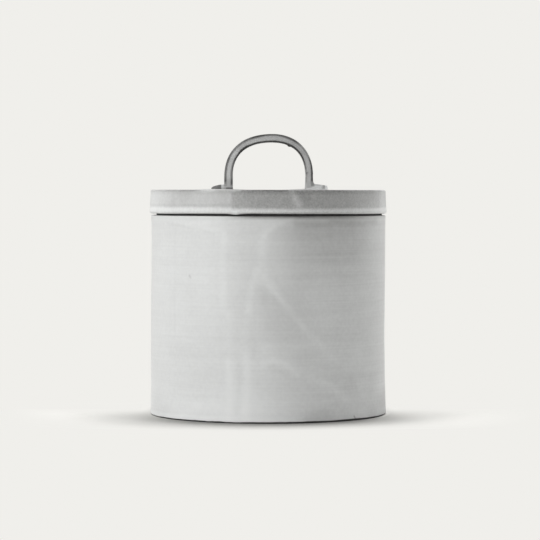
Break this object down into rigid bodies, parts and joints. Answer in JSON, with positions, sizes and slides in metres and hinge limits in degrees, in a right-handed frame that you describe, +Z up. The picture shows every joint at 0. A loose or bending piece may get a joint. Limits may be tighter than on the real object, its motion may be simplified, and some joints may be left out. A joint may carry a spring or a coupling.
{
  "type": "canister",
  "caption": "Round glazed stoneware canister with a straight wall, a flanged lift-off lid and an arched strap handle on top, for keeping dry food.",
  "frame": {"origin": "centre of the foot ring, on the surface that the jar stands on", "axes": "+Z up along the jar's axis; the handle's arch lies in the XZ plane, so its open side faces -Y, the front in the picture"},
  "size_m": [0.1216, 0.1216, 0.1436],
  "materials": {
    "jar_glaze": "satin",
    "lid_glaze": "satin",
    "handle_glaze": "satin"
  },
  "bodies": {
    "jar": {"jar": "jar_glaze"},
    "lid": {"lid": "lid_glaze", "handle": "handle_glaze"}
  },
  "joints": [
    {"name": "lid_lift", "type": "slide", "parent": "jar", "child": "lid", "axis": [0, 0, 1], "range_m": [0, 0.1]}
  ]
}
